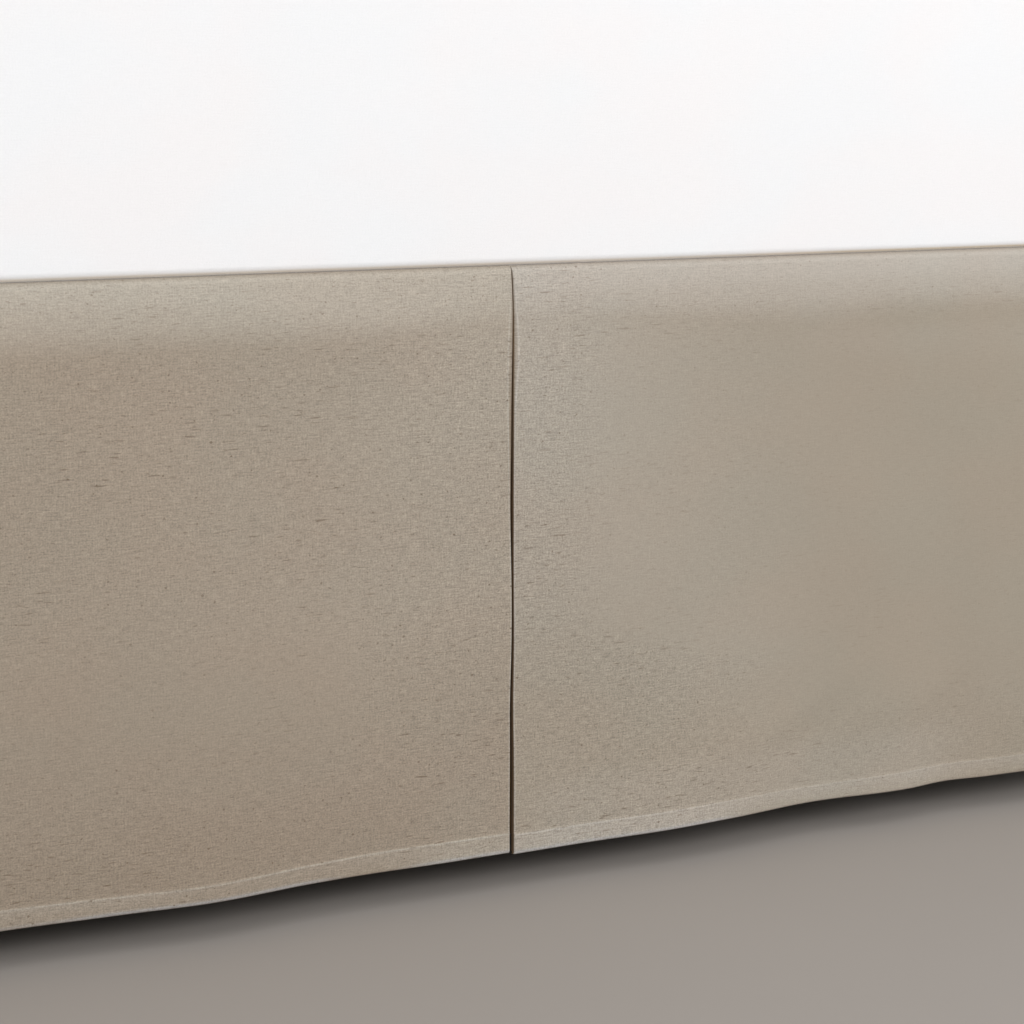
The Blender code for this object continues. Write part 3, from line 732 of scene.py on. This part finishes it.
def hem_line(along):
    """How deep the hem is at each place along a side. It was turned up by hand, so it isn't quite even: it
    is deeper just left of the slit, and shallower further off to both sides."""
    deeper = 0.0008 * bell(along + 0.07, 0.06)
    shallower = 0.0018 * bell(along + 0.225, 0.09) + 0.0014 * bell(along - 0.25, 0.04)
    return HEM_DEPTH - HEM_SHORTFALL + deeper - shallower


def face_relief(marks, along, above, from_end):
    """How far the face stands out by what lies behind it and by handling: the hem's double layer with a
    ridge along its top, the ridges where the turned-back edges end, the pressed edges, and the marks."""
    over_hem = above - hem_line(along)
    out = HEM_STEP * (1 - 1 / (1 + np.exp(-over_hem / HEM_STEP_WIDTH))) * (above > -0.01)
    out = out + HEM_RIDGE * bell(over_hem, HEM_RIDGE_WIDTH)
    upright = np.clip(above / RIDGES_FROM, 0, 1)
    for distance in from_end:
        out = out + RETURN_RIDGE * bell(distance - RETURN, RETURN_RIDGE_WIDTH) * upright
        out = out + PRESSED_RIDGE * bell(distance, PRESSED_RIDGE_WIDTH) * upright
    for mark in marks:
        right, up = along - mark.along, above - mark.above
        cosine, sine = math.cos(math.radians(mark.lean)), math.sin(math.radians(mark.lean))
        with_it, across = right * cosine + up * sine, up * cosine - right * sine
        out = out + mark.height * bell(with_it, mark.length) * bell(across, mark.width)
    return out


def step_up(value, low, high):
    """0 below low, 1 above high, and a smooth step between."""
    share = np.clip((value - low) / (high - low), 0, 1)
    return share * share * (3 - 2 * share)


# The next functions say where the cloth is paler, where painted light, painted highlight and painted shade
# lie on it, and where its grain is faint, each as a share from 0 to 1 for each point. along is measured
# from the side's middle, above up the cloth from the hem's fold, and height from the cloth's top.


def rubbed_above_hem(along, above, height):
    """Painted light along the top, and paler, greyer patches around the slit, by the greater of the two."""
    # Painted light along the top.
    top = 0.70 * step_up(height, -0.050, -0.022) + 0.30 * step_up(height, -0.024, -0.008)
    # More just left of the slit, and in a band lower down at the right; less in a narrow band above that.
    top = top + 0.30 * bell(along + 0.09, 0.09) * step_up(height, -0.070, -0.030)
    top = top + 0.13 * step_up(along, 0.14, 0.24) * bell(height + 0.056, 0.020)
    top = top - 0.15 * step_up(along, 0.24, 0.31) * bell(height + 0.038, 0.012)
    # A narrow bell high up, a wider and taller one, a patch to the right, and a low band there.
    slit = 0.20 * bell(along, 0.085) * step_up(above, 0.20, 0.34)
    slit = slit + 0.32 * bell(along, 0.20) * step_up(above, 0.08, 0.20)
    slit = slit + 0.13 * bell(along - 0.17, 0.08) * bell(above - 0.115, 0.04)
    right_part = step_up(along, 0.0, 0.04) * (1 - step_up(along, 0.32, 0.40))
    slit = slit + 0.19 * (1 - step_up(above, 0.030, 0.055)) * right_part
    return np.maximum(top, slit)


def rubbed_hem(along, above):
    """The hem's double layer is paler up to its line, more so at the left, and far from the slit less
    towards its fold; and a painted highlight runs along the ridge at that line, weaker at the right."""
    over_hem = above - hem_line(along)
    far_off = step_up(np.abs(along - 0.05), 0.09, 0.16)
    layer = 0.45 - 0.05 * far_off + 0.30 * step_up(-along, 0.20, 0.26)
    layer = layer * (1 - 0.9 * far_off * (1 - np.clip(above / HEM_DEPTH, 0, 1)))
    layer = layer * (1 - step_up(over_hem, 0.0, 0.0008))
    # A painted highlight along the ridge at the hem's line.
    return layer + (0.75 - 0.68 * step_up(along, 0.0, 0.20)) * bell(over_hem, 0.0006)


def worn_fold(along, above):
    """A painted highlight along the hem's fold, greyer where it blends to the paler ground and pale grey
    where it blends to the highlight's own colour: around the slit both, and further left the pale grey one,
    though less so at the far left."""
    around_slit = 1 - step_up(np.abs(along - 0.05), 0.10, 0.14)
    further_left = step_up(-along, 0.11, 0.15) * (1 - 0.5 * step_up(-along, 0.28, 0.32))
    rubbed = 0.8 * around_slit * bell(above + 0.0009, 0.0010)
    bare = np.maximum(0.9 * further_left, 0.75 * around_slit) * bell(above + 0.0003, 0.0014)
    return rubbed, bare


def calmness(side, half, along, above, height):
    """Where the grain is faint: over most of the front's right panel, from nearer to the slit high up than
    low down, and less so near its top; on the others a little left of the slit, and more in a band there.
    Near the hem it is half as much, and along the top a little more."""
    if (side.name, half) == ("front", 1):
        lower, far_right = 1 - step_up(above, 0.10, 0.15), step_up(along, 0.15, 0.25)
        calm = step_up(along, 0.025 + 0.075 * lower, 0.085 + 0.155 * lower) * (0.62 + 0.16 * far_right)
        calm = calm * (1 - (0.50 - 0.15 * far_right) * step_up(height, -0.056, -0.030))
    else:
        calm = 0.16 * step_up(-along, 0.03, 0.12)
        calm = calm + 0.30 * bell(above - 0.125, 0.055) * step_up(-along, 0.09, 0.13)
    calm = calm * (1 - 0.5 * (1 - step_up(above, 0.03, 0.09)))
    return calm + 0.25 * (1 - calm) * step_up(height, -0.055, -0.035)


def darkened_low(along, above):
    """Painted shade low on the front: broadly at its left, more in a low band there, and in a lower one at
    its far right."""
    broad = 0.075 * (1 - step_up(above, 0.06, 0.22)) * step_up(-along, 0.08, 0.20)
    band = 0.085 * (1 - step_up(above, 0.020, 0.075)) * (1 - step_up(along, -0.10, -0.02))
    return broad + band + 0.06 * (1 - step_up(above, 0.03, 0.06)) * step_up(along, 0.37, 0.41)


def slit_shape(above):
    """The slit at each height above the hem's fold: how wide it stands open, how far it bows to one side,
    and how far from the left and the right panel's edge its pressed fold starts to turn."""
    gap = 0.0002 + 0.0008 * (1 - step_up(above, 0.27, 0.37)) + 0.0018 * (1 - step_up(above, 0.02, 0.19))
    gap = gap + 0.0008 * bell(above - 0.225, 0.035)
    bow = 0.0002 + 0.0003 * step_up(above, 0.29, 0.34)
    to_right, to_left = bell(above - 0.150, 0.030), bell(above - 0.230, 0.030)
    bow = bow + 0.0004 * (to_right - to_left - bell(above - 0.097, 0.025))
    left = 0.0009 + 0.0028 * bell(above - 0.315, 0.062)
    right = 0.0003 + 0.0029 * bell(above - 0.330, 0.030)
    return gap, bow, (left, right)


# How many columns a panel has in each fold, on each turned-back edge, and, times the fineness, near each
# edge; and how wide those near stretches are, and the columns between them.
FOLD_COLUMNS, BACK_COLUMNS = 10, 4
CREST_COLUMNS, EDGE_COLUMNS = 12, 40
CREST, EDGE, COLUMN = 0.006, 0.060, 0.005


def panel_columns(width, fineness):
    """One value for each column: which end it belongs to (-1, 0 for the face, 1), its turn in the fold
    there, how far back it lies on the turned-back edge, and its share of the face's width."""
    turns = np.linspace(0, math.pi, FOLD_COLUMNS + 1)
    back = RETURN * np.linspace(1, 0, BACK_COLUMNS + 1)[:-1]
    crest = np.linspace(0, CREST, round(CREST_COLUMNS * fineness) + 1)[:-1]
    near = np.concatenate([crest, np.linspace(CREST, EDGE, round(EDGE_COLUMNS * fineness) + 1)[:-1]])
    middle = np.linspace(EDGE, width - EDGE, round((width - 2 * EDGE) / COLUMN * fineness) + 1)
    share = np.concatenate([near, middle, (width - near)[::-1]]) / width
    left, left_fold = (-1.0, math.pi, back, 0.0), (-1.0, turns[:0:-1], 0.0, 0.0)
    right_fold, right = (1.0, turns[1:], 0.0, 1.0), (1.0, math.pi, back[::-1], 1.0)
    runs = (left, left_fold, (0.0, 0.0, 0.0, share), right_fold, right)
    spread = (np.broadcast_arrays(*run) for run in runs)
    return (np.concatenate(values)[None, :] for values in zip(*spread))


def panel_folds(half, ends, kinds, rows, radius):
    """Where each end's fold starts to turn, and how wide it is, at each row. At a slit both follow its
    shape, and the slit closes on the roll. At the head the fold is as round as deep, and at a corner it
    also follows the next side's cloth out, with room for that side's layers."""
    open_share = np.clip((CLOSED_AT - rows.tilt) / (CLOSED_AT - LEAN), STILL_OPEN, 1.0)
    starts, widths = [], []
    for end, kind, sign in zip(ends, kinds, (-1, 1)):
        width = radius
        if kind == "slit":
            gap, bow, fold_widths = slit_shape(rows.above)
            width = fold_widths[half] * open_share
            start = end - sign * (gap * open_share / 2 + width) + bow
        elif kind == "head":
            start = end - sign * radius
        else:
            layers = 3 * radius * (1 - np.minimum(1.0, rows.tilt / LEAN))
            start = end + sign * (rows.out + (FLARE + OPENING) * rows.drop - layers - MITRE_GAP)
        starts.append(start)
        widths.append(width)
    return starts, widths


def panel_cells(kinds, rows, end, turn):
    """Which cells of a panel's grid are cloth. The hem isn't carried round behind the folds, a mitred end
    has no fold from where the cloth leans, and the others have none further in than the deck's edge."""
    cell_end = end[:, 1:] + end[:, :-1]
    cell_turn = np.maximum(turn[:, 1:], turn[:, :-1])
    cell_hem = np.maximum(rows.hem[1:], rows.hem[:-1])
    leaning = np.maximum(rows.tilt[1:], rows.tilt[:-1]) > 0
    further_in = np.minimum(rows.out[1:], rows.out[:-1]) < -(DECK_INSET - SPACE)
    keep = (cell_end == 0) | (cell_hem == 0) | ((cell_turn <= QUARTER_TURN) & (cell_hem <= QUARTER_TURN))
    for kind, sign in zip(kinds, (-1, 1)):
        unfolded = leaning if kind == "corner" else further_in
        keep = keep & ~((np.sign(cell_end) == sign) & unfolded)
    return keep


def shade_in_folds(half, rows, end, turn, low):
    """Painted shade, as a share for each point: on the ends little at the crest, more so high up at a left
    panel's, and wholly once the fold has turned in; on the face where it rolls over the bed's edge under
    the mattress, and the painted shade low down."""
    crest = 0.12 if half else 0.12 + 0.38 * bell(rows.above - 0.26, 0.05)
    dark_from = 0.5 + 0.25 * step_up(rows.above, 0.27, 0.32)
    on_end = crest * step_up(turn, 0.1, 0.3) + (1 - crest) * step_up(turn, dark_from, dark_from + 0.5)
    on_face = low + 0.20 * step_up(rows.tilt, 0.45, 1.1)
    return on_end * np.abs(end) + on_face * (1 - np.abs(end))


def make_panel(side, half, ends, kinds, material, hang):
    """A face between two folded ends. Across: each fold is half an ellipse, and the turned-back edge lies
    flat behind the face. An end of kind slit or head is folded over the whole height, and one of kind
    corner only up to where the cloth leans, and mitred from there. hang is how much lower it hangs at its
    slit."""
    rows = hanging_profile(0.0, 0.0, FLANGE_REACH, side.fineness)
    end, turn, back, share = panel_columns(ends[1] - ends[0], side.fineness)
    radius = LAYER + (FOLD_GAP_TOP + OPENING * rows.drop) / 2
    starts, widths = panel_folds(half, ends, kinds, rows, radius)
    width = np.where(end < 0, widths[0], widths[1])
    start = np.where(end < 0, starts[0], starts[1])
    face = starts[0] + (starts[1] - starts[0]) * share
    along = np.where(end == 0, face, start + end * (width * np.sin(turn) - back))
    from_end = (along - starts[0], starts[1] - along)
    relief = face_relief(MARKS[side.name], along, rows.above, from_end)
    on_show = (rows.hem < QUARTER_TURN) * (rows.tilt < NEARLY_LEVEL)
    faded = np.where(end == 0, 1.0, np.cos(np.minimum(turn, math.pi / 2))) * on_show
    points = on_side(side, rows, along, radius * (1 - np.cos(turn)) - relief * faded)
    slit = ends[kinds.index("slit")]
    points[:, :, 2] -= hang * bell(along - slit, HANG_WIDTH) * rows.drop
    unfolded = np.where(end == 0, face, start + end * (width * turn / 2 + back))
    cut_from = CUT_FROM + CUT_STEP * half + SIDE_STEP * side.turn
    uv = np.dstack(np.broadcast_arrays(unfolded + cut_from, rows.above))
    faces = grid_faces(*points.shape[:2], panel_cells(kinds, rows, end, turn))

    above, height = rows.above, rows.up - TOP_UP
    # A painted highlight along the crest of each pressed edge, outside the turned-up hem.
    crest = 0.90 * np.maximum(*(bell(distance, 0.0006) for distance in from_end)) * (rows.hem == 0)
    rubbed = rubbed_above_hem(along, above, height) + np.maximum(rubbed_hem(along, above), crest)
    # Painted highlights along the hem's fold.
    fold_rubbed, bare = worn_fold(along, above)
    rubbed = np.clip(np.clip(rubbed, 0, 1) + fold_rubbed, 0, 1)
    calm = calmness(side, half, along, above, height)
    # Painted shade low down, on the front only.
    low = darkened_low(along, above) * (side.name == "front")
    # inside carries the painted shade.
    inside = shade_in_folds(half, rows, end, turn, low)
    hand = ("left", "right")[half]
    piece = new_piece(
        f"{side.name}_panel_{hand}_cloth", points, (faces,), uv.reshape(-1, 2)[faces], material, "linen",
        rubbed=rubbed, bare=bare, calm=calm, inside=inside,
    )
    thicken(piece, CLOTH)
    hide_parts(f"{side.name}_panel_{hand}")


linen_right = woven_material(
    "greige_linen_cool", (0.324, 0.279, 0.221), (0.160, 0.119, 0.082), rubbed=(1.34, 1.42, 1.58), **LINEN,
)
END_KINDS = {"front": ("corner", "head"), "back": ("head", "corner"), "foot": ("corner", "corner")}
for side in SIDES:
    kinds = END_KINDS[side.name]
    make_panel(side, 0, (-side.half_length, 0.0), (kinds[0], "slit"), linen_left, 0.0)
    make_panel(side, 1, (0.0, side.half_length), ("slit", kinds[1]), linen_right, RIGHT_HANGS_LOWER)


# ---- The mattress --------------------------------------------------------------------------------
# A sprung mattress in a plain white cotton cover: softly crowned, with a welted seam around its top edge,
# and drawn in a little at its lower edge, which lies on the skirt's top.

mattress_low, mattress_high = (np.array(corner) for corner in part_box("mattress"))
MATTRESS_CORNER = 0.070
MATTRESS_TOP_EDGE = 0.035
MATTRESS_BOTTOM_EDGE = 0.0060
MATTRESS_PROUD = 0.0014  # how far its padded side stands out
MATTRESS_DEPTH = mattress_high[2] - mattress_low[2]
MATTRESS_SINK = 0.0008  # how far its weight presses it into the cloth
MATTRESS_SWELL = 0.0020
CROWN, CROWN_WAVES = 0.005, 0.0012
WELT, WELT_TILT, WELT_WIDTH = 0.0022, 38, 0.055  # how far it stands out, and where on the rounded edge
GROOVE, GROOVE_TILTS, GROOVE_WIDTH = 0.0012, (27, 49), 0.05  # the seams on both sides of the welt
FAN, FAN_REACH, FAN_SPACING = 0.0014, 0.10, 0.034  # the folds drawn out from its corners
mattress_low -= np.array([MATTRESS_PROUD, MATTRESS_PROUD, MATTRESS_SINK])
mattress_high += np.array([MATTRESS_PROUD, MATTRESS_PROUD, 0.0])


def mattress_relief(plan, share, height, tilt):
    """The side swells in the middle of its height, the top is crowned with slow waves, a welt runs round
    the top edge between two seams, and shallow folds fan out from the corners."""
    x, y = plan[:, :, 0], plan[:, :, 1]
    half = (mattress_high - mattress_low) / 2
    up_side = np.clip(height / MATTRESS_DEPTH, 0, 1)
    swell = MATTRESS_SWELL * np.sin(math.pi * up_side) ** 0.8 * (tilt < 0.8)
    waves = np.sin(7 * x + 2 * np.sin(3 * y)) * np.sin(8 * y + 1)
    crown = CROWN * (1 - share**4) + CROWN_WAVES * waves * (1 - share**6)
    welt = WELT * bell(tilt - math.radians(WELT_TILT), WELT_WIDTH)
    grooves = -GROOVE * sum(bell(tilt - math.radians(degrees), GROOVE_WIDTH) for degrees in GROOVE_TILTS)
    core = half - MATTRESS_CORNER
    beyond = np.clip(np.hypot(core[0] - np.abs(x), core[1] - np.abs(y)) - MATTRESS_CORNER, 0, None)
    travel = np.where(np.abs(y) > half[1] - 0.03, np.abs(x), np.abs(y))
    turns = travel / FAN_SPACING + 1.3 * up_side * np.sign(x * y)
    fan = FAN * bell(beyond, FAN_REACH) * np.sin(2 * math.pi * turns) * np.sin(math.pi * up_side)
    return swell + np.where(tilt > NEARLY_LEVEL, crown, 0.0) + (welt + grooves + fan) * (share == 1.0)


white_cotton = woven_material(
    "white_cotton", (0.865, 0.866, 0.885), (0.80, 0.80, 0.80),
    threads=3200.0, uneven=0.04, slubs=0.0, mottle=0.02, bump=0.00006, Sheen_Weight=0.10,
)
mattress = filled_block(
    "mattress_cover", mattress_low, mattress_high, MATTRESS_CORNER, MATTRESS_BOTTOM_EDGE,
    MATTRESS_TOP_EDGE, Steps(straight=(170, 130), bend=22, flat=26, round_over=24, upright=36),
    mattress_relief, white_cotton, "mattress_cover",
)

# Painted shade, brownish, in a narrow band round its lower edge where it lies on the skirt, more towards
# the head.
DULLED_UP, DULLED_WIDTH = 0.0019, 0.0010
places = np.empty(3 * len(mattress.data.vertices), np.float32)
mattress.data.vertices.foreach_get("co", places)
above_underside = places[2::3] - mattress_low[2]
dulled = 0.36 + 0.20 * step_up(places[0::3], 0.15, 0.30)
dulled = (dulled * bell(above_underside - DULLED_UP, DULLED_WIDTH)).astype(np.float32)
# The painted shade goes in as the share inside.
mattress.data.attributes.new("inside", "FLOAT", "POINT").data.foreach_set("value", dulled)
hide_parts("mattress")


# ---- The room ------------------------------------------------------------------------------------
# A plain pale floor, soft studio light from above and both sides, and the camera at the bed's long side.

FLOOR_HALF = 14.0
FLOOR_COLOUR = (0.345, 0.315, 0.29)
floor_mesh = bpy.data.meshes.new("studio_floor")
floor_corners = [(x * FLOOR_HALF, y * FLOOR_HALF, 0.0) for x, y in ((-1, -1), (1, -1), (1, 1), (-1, 1))]
floor_mesh.from_pydata(floor_corners, [], [(0, 1, 2, 3)])
floor = bpy.data.objects.new("studio_floor", floor_mesh)
bpy.context.scene.collection.objects.link(floor)
floor_paint, floor_tree, floor_shader = new_material("pale_floor", 0.65)
floor_place = shader_node(floor_tree, "TexCoord").outputs["Object"]
floor_clouds = noise(floor_tree, floor_place, (2.0, 2.0, 2.0), detail=4.0)
floor_tone = maths(floor_tree, "MULTIPLY_ADD", floor_clouds, 0.06, 0.97)
floor_tree.links.new(scaled(floor_tree, FLOOR_COLOUR, floor_tone), floor_shader.inputs["Base Color"])
floor_mesh.materials.append(floor_paint)


def soft_box(name, place, target, size, power):
    """A rectangular white studio light at place, facing target."""
    light = bpy.data.lights.new(name, "AREA")
    light.shape = "RECTANGLE"
    light.size, light.size_y = size
    light.energy = power
    lamp = bpy.data.objects.new(name, light)
    lamp.location = place
    x, y, z = (to - start for to, start in zip(target, place))
    lamp.rotation_euler = (math.atan2(math.hypot(x, y), -z), 0.0, math.atan2(y, x) - math.pi / 2)
    bpy.context.scene.collection.objects.link(lamp)


soft_box("key_light", (2.4, -3.8, 1.9), target=(0.1, -0.76, 0.30), size=(2.6, 1.5), power=86.0)
soft_box("overhead_light", (0.1, -2.1, 3.1), target=(0.1, -0.9, 0.2), size=(4.0, 2.2), power=26.0)
soft_box("fill_light", (-2.8, -3.6, 1.7), target=(-0.2, -0.76, 0.30), size=(2.4, 1.3), power=58.5)

world = bpy.data.worlds.new("studio")
world.use_nodes = True
backdrop = world.node_tree.nodes["Background"]
backdrop.inputs["Color"].default_value = (1.0, 0.995, 0.985, 1.0)
backdrop.inputs["Strength"].default_value = 0.45
bpy.context.scene.world = world
bpy.context.scene.view_settings.view_transform = "Standard"

CAMERA_PLACE = (-0.7478, -2.1623, 0.5465)
CAMERA_YAW, CAMERA_PITCH, CAMERA_ROLL = (math.radians(angle) for angle in (28.4618, 10.5080, 0.6154))
SENSOR_WIDTH, LENS = 36.0, 87.89  # in millimetres
camera_data = bpy.data.cameras.new("camera")
camera_data.sensor_width = SENSOR_WIDTH
camera_data.lens = LENS
camera_data.clip_start = 0.01
camera = bpy.data.objects.new("camera", camera_data)
bpy.context.scene.collection.objects.link(camera)
bpy.context.scene.camera = camera

turned = Matrix.Rotation(-CAMERA_YAW, 4, "Z") @ Matrix.Rotation(math.pi / 2 - CAMERA_PITCH, 4, "X")
camera.matrix_world = Matrix.Translation(CAMERA_PLACE) @ turned @ Matrix.Rotation(CAMERA_ROLL, 4, "Z")
